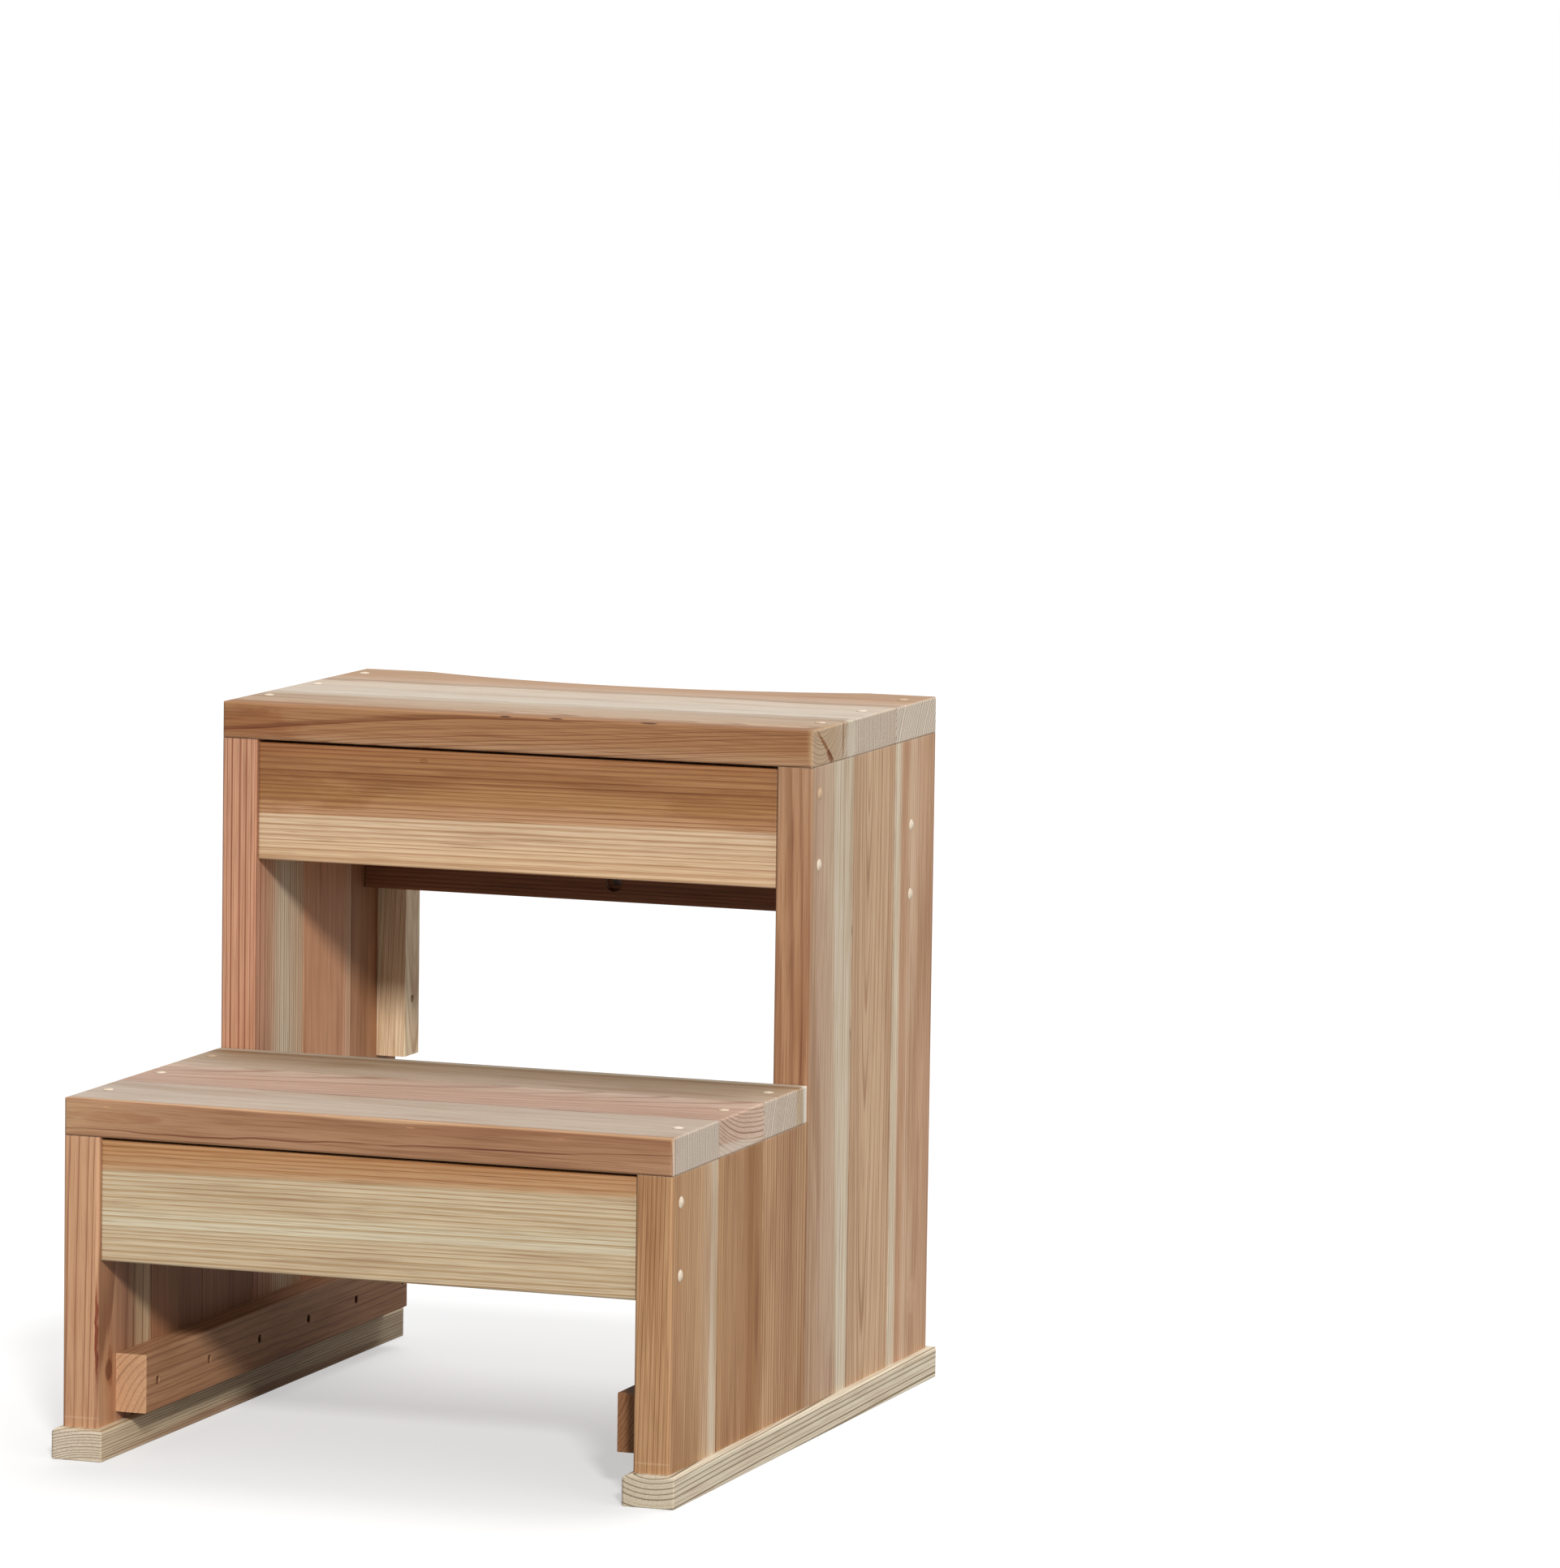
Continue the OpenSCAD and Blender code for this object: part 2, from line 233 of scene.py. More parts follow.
SEED_SHIFT = (913.0, 171.0, 57.0)  # how far one unit of Seed moves a board through the noises
YEAR_SEED = 31.7                   # the same for the chances of its rings
FINE_SEED = 77.1                   # and of its fine lines
RING_STRAY = 10.0                  # how far a ring lies from its mean place, at most
SHIVER = 0.16                      # the quick drift's share of the slow one
LATE_RISE = (0.30, 0.90)           # when in a year the late wood darkens
LATE_FALL = (0.93, 1.0)            # and ends
FINE_RATIO = 2.27                  # fine lines for each ring
FINE_RISE = (0.45, 0.80)
FINE_FALL = (0.84, 1.0)
WEAKEST = 0.25                     # strength of the faintest ring, where the strongest has 1
STEADY_STRENGTH = 0.85             # late wood of rings that are all alike
KNOT_REACH = (2.6, 1.5)            # how far a knot pushes, along and across, in its radii
BAND_STRAY = 0.55                  # how far the colour bands stray with the rings


def ring_distance(n, given, knot_push, stray_a, stray_b):
    """Distance from the pith, which drifts along the board."""
    along, across, through = n.split(given["Place"])
    pith_a = n.math("MULTIPLY_ADD", given["Slope A"], along, given["Pith A"])
    pith_b = n.math("MULTIPLY_ADD", given["Slope B"], along, given["Pith B"])
    d_a = n.sub(n.add(across, stray_a, knot_push), pith_a)
    d_b = n.sub(n.add(through, stray_b), pith_b)
    return n.math("SQRT", n.add(n.mul(d_a, d_a), n.mul(d_b, d_b)))


def ring_lines(n, radius, ring, sharp, steady, seed):
    """Dark late wood at the end of each year, and finer, fainter lines between the years."""
    stray = n.mul(n.noise_1d(n.math("MULTIPLY_ADD", radius, RING_PACE, seed)), RING_STRAY)
    years = n.math("DIVIDE", n.add(radius, stray), ring)
    year = n.math("FLOOR", years)
    season = n.sub(years, year)
    chance = n.math("MULTIPLY_ADD", n.white(n.add(year, n.mul(seed, YEAR_SEED))), 1.0 - WEAKEST, WEAKEST)
    strength = n.add(n.mul(chance, n.sub(1.0, steady)), n.mul(steady, STEADY_STRENGTH))
    rise = n.math("POWER", n.step(season, *LATE_RISE), sharp)
    late = n.mul(rise, n.step(season, *LATE_FALL, 1.0, 0.0), strength)

    fine_years = n.mul(years, FINE_RATIO)
    fine_season = n.math("FRACT", fine_years)
    fine_chance = n.white(n.add(n.math("FLOOR", fine_years), n.mul(seed, FINE_SEED)))
    fine_line = n.mul(n.step(fine_season, *FINE_RISE), n.step(fine_season, *FINE_FALL, 1.0, 0.0))
    return late, n.mul(fine_line, fine_chance)


def make_grain_group():
    """Growth rings round a pith line, fibres, streaks and masks, as one shader group."""
    tree = bpy.data.node_groups.new("cedar_grain", "ShaderNodeTree")
    for name, kind in POINT.items():
        tree.interface.new_socket(name, in_out="INPUT", socket_type=kind)
    for name, value in FIGURE.items():
        kind = "NodeSocketVector" if isinstance(value, tuple) else "NodeSocketFloat"
        tree.interface.new_socket(name, in_out="INPUT", socket_type=kind)
    n = Net(tree)
    given = n.node("NodeGroupInput").outputs
    made = {}

    along, across, through = n.split(given["Place"])
    half_l, half_a, half_b = n.split(given["Half"])
    knot_l, knot_a, knot_r = n.split(given["Knot"])
    seed = given["Seed"]
    seeded = n.vector("ADD", given["Place"], n.join(*(n.mul(seed, shift) for shift in SEED_SHIFT)))

    # Slow drift of the whole log, and a small shiver on top of it.
    slow = n.centred(n.stretched(seeded, SLOW_PACE, 1.0))
    quick = n.centred(n.stretched(seeded, QUICK_PACE, 2.0))
    shiver = n.mul(given["Wander"], SHIVER)
    stray_a = n.add(n.mul(slow[0], given["Wander"]), n.mul(quick[0], shiver))
    stray_b = n.add(n.mul(slow[1], given["Wander"]), n.mul(quick[1], shiver))

    # A knot pushes the rings aside.
    knot_size = n.math("MAXIMUM", knot_r, 0.01)
    from_l = n.math("DIVIDE", n.sub(along, knot_l), n.mul(knot_size, KNOT_REACH[0]))
    from_a = n.math("DIVIDE", n.sub(across, knot_a), n.mul(knot_size, KNOT_REACH[1]))
    near_knot = n.math("EXPONENT", n.mul(n.add(n.mul(from_l, from_l), n.mul(from_a, from_a)), -1.0))
    push = n.mul(near_knot, knot_r, n.mul(n.math("SIGN", from_a), -0.9))

    radius = ring_distance(n, given, push, stray_a, stray_b)
    made["Late"], made["Fine"] = ring_lines(n, radius, given["Ring"], given["Sharp"], given["Steady"], seed)

    # Fibres, soft tone changes and thin resin streaks, all drawn out along the grain.
    made["Fibre"] = n.stretched(seeded, FIBRE_PACE, 3.0, 0.6)[0]
    made["Grain"] = n.stretched(seeded, GRAIN_PACE, 4.0, 0.62)[0]
    made["Tone"] = n.stretched(seeded, TONE_PACE, 2.0, 0.55)[0]
    made["Streak"] = n.step(n.stretched(seeded, STREAK_PACE, 2.0)[0], 0.60, 0.76)

    # Colour bands follow the rings: they lean through the thickness and drift along the length.
    leaning = n.add(across, n.mul(stray_a, BAND_STRAY), n.mul(through, given["Slant"]))
    band = n.add(leaning, n.add(n.mul(along, given["Band drift"]), n.mul(push, 0.5)))
    made["Band"] = n.math("ADD", n.math("DIVIDE", band, n.mul(half_a, 2.0)), 0.5, clamp=True)

    # Distance to the nearest edge of the board is the middle one of its distances to the three pairs
    # of faces. The smallest one is zero on every outer face, and more on the wall of a bored hole.
    to_l = n.sub(half_l, n.math("ABSOLUTE", along))
    to_a = n.sub(half_a, n.math("ABSOLUTE", across))
    to_b = n.sub(half_b, n.math("ABSOLUTE", through))
    low = n.math("MINIMUM", to_a, to_b)
    high = n.math("MAXIMUM", to_a, to_b)
    middle = n.math("MAXIMUM", low, n.math("MINIMUM", high, to_l))
    rough = n.mul(n.sub(n.noise(seeded, 2.0, 0.5, EDGE_PACE)[0], 0.5), 3.0)
    made["Edge"] = n.step(n.add(middle, rough), 0.4, 4.2, 1.0, 0.0)
    made["Deep"] = n.math("MINIMUM", low, to_l)

    # The knot itself, inside a ragged bark line.
    core_l = n.math("POWER", n.mul(from_l, 2.0), 2.0)
    core_a = n.math("POWER", n.mul(from_a, 1.5), 2.0)
    bark = n.mul(n.sub(n.noise(seeded, 3.0, 0.6, BARK_PACE)[0], 0.5), 0.55)
    core = n.step(n.add(n.math("SQRT", n.add(core_l, core_a)), bark), 0.70, 1.12, 1.0, 0.0)
    made["Knotty"] = n.mul(core, n.math("GREATER_THAN", knot_r, 0.1))

    # Cut ends, with fine rays and saw fuzz.
    made["End"] = n.step(n.math("ABSOLUTE", given["Facing"]), 0.55, 0.9)
    made["Rays"] = n.stretched(seeded, RAY_PACE, 3.0, 0.7)[0]

    for name in made:
        tree.interface.new_socket(name, in_out="OUTPUT", socket_type="NodeSocketFloat")
    n.feed_all(n.node("NodeGroupOutput"), *made.values())
    return tree


GRAIN = make_grain_group()


def seam_masks(n, place, facing, half_a, seams):
    """Two masks: dirt in the glued joints along a board's edges, and where its free edges get lighter,
    partly as wear and partly as a painted highlight.
    """
    across = n.split(place)[1]
    gaps = (n.add(across, half_a), n.sub(half_a, across))

    def near_seam(low, high):
        sides = [n.mul(n.step(gap, low, high, 1.0, 0.0), float(glued)) for gap, glued in zip(gaps, seams)]
        return n.math("MAXIMUM", *sides)

    on_wide_face = n.step(n.math("ABSOLUTE", facing), 0.3, 0.6, 1.0, 0.0)
    broken = n.step(n.stretched(place, DIRT_PACE, 3.0, 0.6)[0], 0.38, 0.60, 0.35, 1.0)
    return n.mul(near_seam(0.4, 1.8), on_wide_face, broken), n.sub(1.0, near_seam(4.0, 6.0))


@dataclass
class Mark:
    """A ragged spot, pocket, vein or scuff of one board, in the board's millimetres."""
    at: tuple             # its middle
    half: tuple           # its half sizes
    tint: tuple
    strength: float = 1.0
    paint: bool = False   # hides the wood with its tint, where others multiply the wood by it
    waver: float = 0.0    # how far its path strays
    pace: float = 0.012   # how quickly it does so along the board
    rise: float = 0.0     # how its path climbs through the board, for each millimetre along
    lean: float = 0.0     # and for each millimetre across
    ragged: float = 0.8
    on_end: bool = False  # lies over the colour of a cut end


def add_mark(n, colour, place, mark):
    """The colour with the mark over it."""
    along, across, through = n.split(place)
    wave = n.centred(n.stretched(place, (mark.pace, 0.004, 0.004), 2.0))
    off_l = n.sub(along, mark.at[0])
    off_a = n.add(n.sub(across, mark.at[1]), n.mul(wave[0], mark.waver))
    path = n.math("MULTIPLY_ADD", off_l, mark.rise, mark.at[2])
    off_b = n.add(n.sub(through, path), n.mul(wave[1], mark.waver))
    off_b = n.sub(off_b, n.mul(off_a, mark.lean))
    ratios = [n.math("DIVIDE", off, size) for off, size in zip((off_l, off_a, off_b), mark.half)]
    near = n.add(*(n.math("POWER", n.math("ABSOLUTE", ratio), 2.0) for ratio in ratios))
    shape = n.stretched(place, tuple(1.6 / max(size, 2.0) for size in mark.half), 4.0, 0.6)[0]
    outline = n.add(near, n.mul(n.sub(shape, 0.5), mark.ragged))
    mask = n.step(outline, 0.25, 1.05, mark.strength, 0.0)
    if mark.paint:
        return n.mix(mask, colour, srgb(*mark.tint))
    return n.tinted(mask, colour, mark.tint)


def wood_colour(n, wood, base, out):
    """Colour of sawn wood: its bands, then tones, late wood, fibres, grain and streaks over them."""
    dark = n.step(out["Tone"], 0.50, 0.72)
    pale = n.step(out["Tone"], 0.48, 0.30)
    colour = n.tinted(n.mul(dark, wood["mottle"]), base, (205, 178, 150))
    colour = n.tinted(n.mul(pale, wood["mottle"] * 0.8), colour, (52, 46, 38), "ADD")
    colour = n.tinted(n.mul(out["Late"], wood["contrast"] * 1.15), colour, wood["line"])
    colour = n.tinted(n.mul(out["Fine"], wood["fine"]), colour, (206, 184, 168))
    colour = n.tinted(n.mul(n.step(out["Fibre"], 0.48, 0.68), 0.62), colour, (200, 182, 164))
    colour = n.tinted(n.mul(n.step(out["Fibre"], 0.46, 0.28), 0.6), colour, (40, 36, 30), "ADD")
    colour = n.tinted(n.mul(n.step(out["Grain"], 0.48, 0.66), wood["coarse"]), colour, (214, 196, 180))
    colour = n.tinted(n.mul(n.step(out["Grain"], 0.46, 0.32), wood["coarse"]), colour, (44, 38, 28), "ADD")
    return n.tinted(n.mul(out["Streak"], wood["streaks"]), colour, (176, 122, 92))


def end_colour(n, wood, colour, out):
    """Colour of a cut end: greyer, fuzzy from the saw, with the rings drawn on it."""
    grey = n.mix(wood["end mix"], colour, srgb(*wood["end"]))
    fuzzy = n.tinted(n.step(out["Rays"], 0.40, 0.66), grey, (224, 214, 204))
    return n.tinted(n.mul(out["Late"], wood["end lines"]), fuzzy, (150, 128, 106))


def board_material(name, axes, centre, half, wood):
    """Material of one board. axes are its length, width and thickness, such as "XYZ"."""
    material = bpy.data.materials.new(name)
    material.use_nodes = True
    n = Net(material.node_tree)
    n.tree.nodes.clear()
    coordinates = n.node("ShaderNodeTexCoord")
    metres = n.split(n.vector("SUBTRACT", coordinates.outputs["Object"], tuple(centre)))
    normal = n.split(coordinates.outputs["Normal"])
    order = [AXES[a] for a in axes]
    place = n.join(*(n.mul(metres[i], 1 / MM) for i in order))
    half_mm = [half[i] / MM for i in order]

    grain = n.node("ShaderNodeGroup", node_tree=GRAIN)
    n.feed(grain.inputs["Place"], place)
    grain.inputs["Half"].default_value = half_mm
    n.feed(grain.inputs["Facing"], normal[order[0]])
    for key in FIGURE:
        grain.inputs[key].default_value = wood[key]
    out = grain.outputs

    width = 2 * half_mm[1]
    bands = n.ramp(out["Band"], [(mm / width + 0.5, srgb(*colour)) for mm, colour in wood["bands"]])
    colour = wood_colour(n, wood, bands, out)
    for mark in wood["marks"]:
        if not mark.on_end:
            colour = add_mark(n, colour, place, mark)
    colour = n.mix(n.mul(out["Knotty"], 0.85), colour, srgb(110, 62, 38))
    colour = n.mix(out["End"], colour, end_colour(n, wood, colour, out))
    for mark in wood["marks"]:
        if mark.on_end:
            colour = add_mark(n, colour, place, mark)
    # Painted shade inside bored holes, edges made lighter, partly as sanding wear and partly as a painted
    # highlight, and dirty seams.
    colour = n.tinted(n.step(out["Deep"], 0.4, 1.6, 0.0, wood["hole shade"]), colour, (120, 92, 72))
    seam, clear = seam_masks(n, place, normal[order[1]], half_mm[1], wood["seams"])
    # Free edges made lighter: sanding wear and a painted highlight.
    colour = n.tinted(n.mul(out["Edge"], clear, 0.30), colour, (66, 58, 48), "ADD")
    colour = n.tinted(seam, colour, (120, 92, 76))

    roughness = n.add(0.60, n.mul(n.sub(out["Fibre"], 0.5), 0.24))
    roughness = n.sub(roughness, n.mul(out["Late"], 0.10))
    roughness = n.math("ADD", roughness, n.mul(out["End"], 0.22), clamp=True)
    height = n.add(n.mul(out["Late"], 0.55), n.mul(out["Fibre"], 0.45), n.mul(out["Rays"], out["End"], 1.2))

    shader = n.node("ShaderNodeBsdfPrincipled")
    shader.inputs["Specular IOR Level"].default_value = 0.5
    shader.inputs["IOR"].default_value = 1.45
    n.feed(shader.inputs["Base Color"], colour)
    n.feed(shader.inputs["Roughness"], roughness)
    n.feed(shader.inputs["Normal"], n.bump(height, 0.35, 0.25 * MM))
    n.feed_all(n.node("ShaderNodeOutputMaterial"), shader.outputs[0])
    return material


# ---- colours of the woods ----

GOLD_LINE = (206, 168, 118)
RED_LINE = (172, 118, 98)
BROWN_LINE = (168, 130, 104)

# The grain's centre is given as Pith A and Pith B: far to one side gives straight lines on the wide face,
# close under the face gives arches. Bands run across a board's width, from its front, bottom or left edge.
SIDE = {
    "right_side_board_1": {
        "bands": [
            (-62, (188, 146, 104)), (10, (194, 157, 117)), (38, (204, 172, 138)), (50, (222, 206, 182)),
            (62, (216, 198, 170)),
        ],
        "seams": (0, 1), "Pith A": -110.0, "Pith B": -70.0, "Slope A": 0.03, "Ring": 3.5, "Sharp": 4.0,
        "Steady": 0.7, "Wander": 6.0, "Seed": 1.3,
        "contrast": 0.5, "line": BROWN_LINE,
        "marks": [
            Mark((-136, -65, 0), (1.3, 6, 26), (222, 194, 160), 0.2, paint=True, waver=1.5, pace=0.05,
                 ragged=1.0),
        ],
    },
    "right_side_board_2": {
        "bands": [
            (-62, (190, 149, 107)), (0, (182, 140, 100)), (28, (166, 120, 75)), (45, (168, 124, 78)),
            (62, (190, 150, 106)),
        ],
        "seams": (1, 1), "Pith A": -420.0, "Pith B": 80.0, "Ring": 3.4, "Wander": 5.0, "Seed": 2.7,
        "contrast": 0.9, "mottle": 0.8,
    },
    "right_side_board_3": {
        "bands": [
            (-62, (206, 168, 128)), (-10, (186, 146, 107)), (10, (184, 142, 103)), (40, (189, 151, 111)),
            (62, (186, 147, 106)),
        ],
        "seams": (1, 1), "Pith A": 330.0, "Pith B": 90.0, "Ring": 6.6, "Sharp": 6.0, "Steady": 0.7,
        "Wander": 5.0, "Seed": 3.1,
        "contrast": 1.0, "line": RED_LINE,
    },
    "right_side_board_4": {
        "bands": [
            (-62, (186, 153, 123)), (-10, (196, 168, 142)), (14, (202, 178, 152)), (22, (214, 203, 181)),
            (62, (210, 194, 170)),
        ],
        "seams": (1, 1), "Pith A": -160.0, "Pith B": -25.0, "Slope A": -0.008, "Ring": 7.0, "Sharp": 8.0,
        "Wander": 6.0, "Seed": 4.6, "Band drift": 0.05,
        "contrast": 0.38, "streaks": 0.5,
        "marks": [
            Mark((0, -66, 0), (600, 5, 60), (240, 218, 198), 0.8),
            Mark((147, 65, 19), (8, 2.6, 4), (60, 40, 30)),
            Mark((40, 65, 19), (9, 2.6, 4), (66, 44, 32)),
        ],
    },
    "right_side_board_5": {
        "bands": [(-62, (196, 163, 131)), (20, (209, 177, 143)), (62, (200, 166, 132))],
        "seams": (1, 1), "Pith A": -18.0, "Pith B": -4.7, "Slope B": 0.03, "Ring": 8.0, "Sharp": 14.0,
        "Wander": 7.0, "Seed": 5.2,
        "contrast": 0.75, "mottle": 0.3,
    },
    "right_side_board_6": {
        "bands": [
            (-62, (228, 218, 194)), (-50, (222, 206, 180)), (-40, (200, 161, 128)), (-28, (200, 160, 126)),
            (-16, (221, 192, 163)), (40, (203, 166, 132)), (62, (198, 160, 128)),
        ],
        "seams": (1, 0), "Pith A": 520.0, "Pith B": 120.0, "Ring": 4.2, "Wander": 4.0, "Seed": 6.4,
        "contrast": 0.7, "line": RED_LINE,
        "marks": [
            Mark((-262, 12, 19), (22, 16, 6), (224, 190, 160), 0.18, paint=True, ragged=2.6),
        ],
    },
    "left_side_board_1": {
        "bands": [
            (-62, (198, 152, 116)), (-40, (200, 150, 112)), (0, (170, 122, 92)), (22, (176, 136, 104)),
            (34, (198, 166, 130)), (62, (222, 194, 156)),
        ],
        "seams": (0, 1), "Pith A": -58.0, "Pith B": -190.0, "Slope B": 0.03, "Ring": 8.0, "Sharp": 7.0,
        "Steady": 0.8, "Wander": 14.0, "Seed": 7.9, "Knot": (-91.0, -38.0, 9.0),
        "contrast": 0.7, "line": BROWN_LINE, "fine": 0.35, "coarse": 0.25,
        "marks": [
            Mark((-55, -65, 17.2), (64, 5, 1.9), (176, 104, 62), waver=3.0, pace=0.07, ragged=1.6),
            Mark((-90, -36, 19), (26, 8, 5), (196, 146, 116), 0.6, ragged=2.4),
            Mark((-136, -65, 0), (1.3, 6, 26), (222, 194, 160), 0.2, paint=True, waver=1.5, pace=0.05,
                 ragged=1.0),
        ],
    },
    "left_side_board_2": {
        "bands": [(-62, (186, 136, 98)), (62, (180, 130, 94))],
        "seams": (1, 1), "Pith A": -300.0, "Pith B": -100.0, "Ring": 3.6, "Wander": 6.0, "Seed": 8.8,
        "contrast": 0.8,
    },
    "left_side_board_3": {
        "bands": [(-62, (188, 138, 100)), (62, (178, 128, 90))],
        "seams": (1, 1), "Pith A": 410.0, "Pith B": 60.0, "Ring": 3.2, "Wander": 6.0, "Seed": 9.3,
        "contrast": 0.8,
    },
    "left_side_board_4": {
        "bands": [
            (-62, (200, 150, 119)), (-48, (203, 153, 122)), (-22, (214, 172, 140)), (-6, (222, 198, 169)),
            (10, (230, 214, 187)), (62, (228, 196, 160)),
        ],
        "seams": (1, 1), "Pith A": -250.0, "Pith B": -250.0, "Ring": 4.6, "Sharp": 8.0, "Steady": 0.75,
        "Wander": 3.0, "Seed": 10.9,
        "contrast": 0.9, "line": RED_LINE, "coarse": 0.3,
    },
    "left_side_board_5": {
        "bands": [(-62, (234, 176, 133)), (40, (236, 180, 139)), (62, (240, 200, 165))],
        "seams": (1, 1), "Pith A": -500.0, "Pith B": 90.0, "Ring": 2.8, "Wander": 4.0, "Seed": 11.5,
        "contrast": 0.8, "line": RED_LINE,
    },
    "left_side_board_6": {
        "bands": [(-62, (196, 146, 108)), (62, (190, 138, 98))],
        "seams": (1, 0), "Pith A": 380.0, "Pith B": 150.0, "Ring": 3.4, "Wander": 6.0, "Seed": 12.1,
        "contrast": 0.8,
    },
}
# The treads' tops are given paler, greyer colours than the front faces of the front boards: partly sanded
# wood and partly a painted sheen of the light on the tops.
TREAD = {
    "lower_tread_front_board": {
        "bands": [(-64, (190, 151, 114)), (-52, (199, 187, 172)), (64, (195, 181, 165))],
        "seams": (0, 1), "Pith A": -330.0, "Pith B": -8.0, "Ring": 3.9, "Sharp": 2.5, "Steady": 0.85,
        "Wander": 6.0, "Seed": 13.9,
        "contrast": 0.55, "line": RED_LINE, "coarse": 0.25, "mottle": 0.35, "end mix": 0.5,
        "end lines": 0.6,
        "marks": [
            Mark((-60, -66, -8), (330, 6, 1.2), (164, 116, 88), 0.8, waver=20.0, pace=0.0062, rise=0.016,
                 ragged=0.3),
            Mark((200, -66, -3), (170, 6, 0.9), (170, 122, 96), 0.8, waver=14.0, pace=0.006, rise=0.03,
                 ragged=0.4),
            Mark((-270, -66, 3), (60, 6, 7), (214, 186, 164), 0.5, ragged=2.6),
            Mark((-276, -66, 12), (5, 4, 0.6), (226, 160, 112), 0.6, paint=True),
            Mark((48, -66, 12), (6, 4, 0.6), (222, 160, 116), 0.5, paint=True),
            Mark((205, -66, 11), (5, 4, 0.5), (222, 160, 116), 0.5, paint=True),
            Mark((-40, 63, 19), (70, 3.5, 6), (180, 148, 126), 0.6, ragged=2.4),
            Mark((170, 63, 19), (50, 3.5, 6), (180, 148, 126), 0.6, ragged=2.4),
        ],
    },
    "lower_tread_middle_board": {
        "bands": [(-64, (190, 160, 142)), (0, (198, 167, 147)), (64, (214, 190, 171))],
        "seams": (1, 1), "Pith A": 70.0, "Pith B": 330.0, "Slope B": 0.04, "Ring": 4.4, "Sharp": 5.0,
        "Steady": 0.8, "Wander": 7.0, "Seed": 14.2,
        "contrast": 0.42, "line": RED_LINE, "fine": 0.4, "coarse": 0.3, "streaks": 0.12,
        "end": (224, 198, 178), "end mix": 0.5, "end lines": 0.8,
        "marks": [
            Mark((321, 0, -20), (8, 110, 13), (212, 200, 184), 0.55, paint=True, lean=-0.08, ragged=0.5,
                 on_end=True),
        ],
    },
    "lower_tread_back_board": {
        "bands": [
            (-64, (208, 190, 170)), (30, (195, 172, 144)), (44, (178, 150, 118)), (52, (186, 160, 130)),
            (57, (216, 206, 186)), (64, (212, 200, 180)),
        ],
        "seams": (1, 0), "Pith A": 220.0, "Pith B": -90.0, "Ring": 3.6, "Sharp": 2.5, "Steady": 0.8,
        "Wander": 8.0, "Seed": 15.4, "Slant": 0.25,
        "contrast": 0.5, "end mix": 0.6, "end lines": 1.0,
        "marks": [
            Mark((321, 41, 0), (8, 11, 70), (244, 234, 208), 0.7, ragged=0.4, on_end=True),
            Mark((321, 60, 0), (8, 8, 60), (224, 216, 198), 0.75, paint=True, ragged=0.4, on_end=True),
        ],
    },
    "upper_tread_front_board": {
        "bands": [
            (-64, (165, 120, 80)), (-50, (186, 152, 120)), (-40, (195, 169, 142)), (30, (196, 176, 154)),
            (40, (204, 193, 176)), (64, (208, 198, 182)),
        ],
        "seams": (0, 1), "Pith A": -34.0, "Pith B": 32.0, "Slope B": 0.07, "Ring": 4.6, "Sharp": 5.0,
        "Wander": 12.0, "Seed": 16.8, "Slant": -0.5,
        "contrast": 0.8, "line": (186, 148, 112), "coarse": 0.35, "end": (214, 196, 172), "end mix": 0.4,
        "end lines": 0.8,
        "marks": [
            Mark((321, -30, 4), (8, 56, 40), (170, 136, 98), 0.8, paint=True, ragged=0.7),
            Mark((321, -26, 0), (8, 30, 3.6), (196, 152, 108), 0.95, lean=-0.66, ragged=1.0, on_end=True),
            Mark((321, 64, -18), (8, 3, 3), (150, 112, 84), 0.8, on_end=True),
            Mark((321, -12, -12), (8, 12, 6), (182, 132, 86), 0.9, lean=-0.5, ragged=1.2, on_end=True),
            Mark((321, 28, 3), (8, 3.2, 26), (196, 168, 132), 0.8, lean=2.0, ragged=0.6, on_end=True),
            Mark((321, 54, 0), (8, 17, 70), (212, 203, 184), 0.5, paint=True, on_end=True),
            Mark((-290, -66, -4), (70, 5, 24), (224, 190, 160), 0.6, ragged=2.4),
            Mark((-10, -64, 17.6), (7, 4, 0.9), (110, 60, 40), 0.9),
            Mark((45, -64, 18), (9, 4, 0.8), (110, 60, 40), 0.9),
            Mark((146, -64, 18), (11, 4, 0.9), (110, 60, 40), 0.9),
        ],
    },
    "upper_tread_middle_board": {
        "bands": [(-64, (220, 212, 199)), (-40, (212, 202, 188)), (64, (214, 200, 183))],
        "seams": (1, 1), "Pith A": 300.0, "Pith B": 30.0, "Ring": 3.8, "Sharp": 2.5, "Steady": 0.8,
        "Wander": 6.0, "Seed": 17.1,
        "contrast": 0.45, "line": GOLD_LINE, "coarse": 0.35, "mottle": 0.25, "end": (220, 206, 190),
        "end mix": 0.5, "end lines": 0.9,
        "marks": [
            Mark((-300, 62, 19), (40, 4.5, 6), (184, 152, 126), 0.6, ragged=2.6),
            Mark((-20, 62, 19), (46, 4, 6), (194, 164, 138), 0.55, ragged=2.6),
            Mark((225, 62, 19), (56, 4.5, 6), (180, 148, 122), 0.65, ragged=2.6),
        ],
    },
    "upper_tread_back_board": {
        "bands": [
            (-64, (200, 178, 156)), (-56, (182, 160, 136)), (-44, (203, 175, 150)), (0, (192, 158, 126)),
            (64, (186, 152, 120)),
        ],
        "seams": (1, 0), "Pith A": 240.0, "Pith B": -150.0, "Ring": 4.8, "Sharp": 2.5, "Steady": 0.85,
        "Wander": 6.0, "Seed": 18.5,
        "contrast": 0.55, "end": (230, 222, 208), "end mix": 0.8, "end lines": 1.0,
    },
}
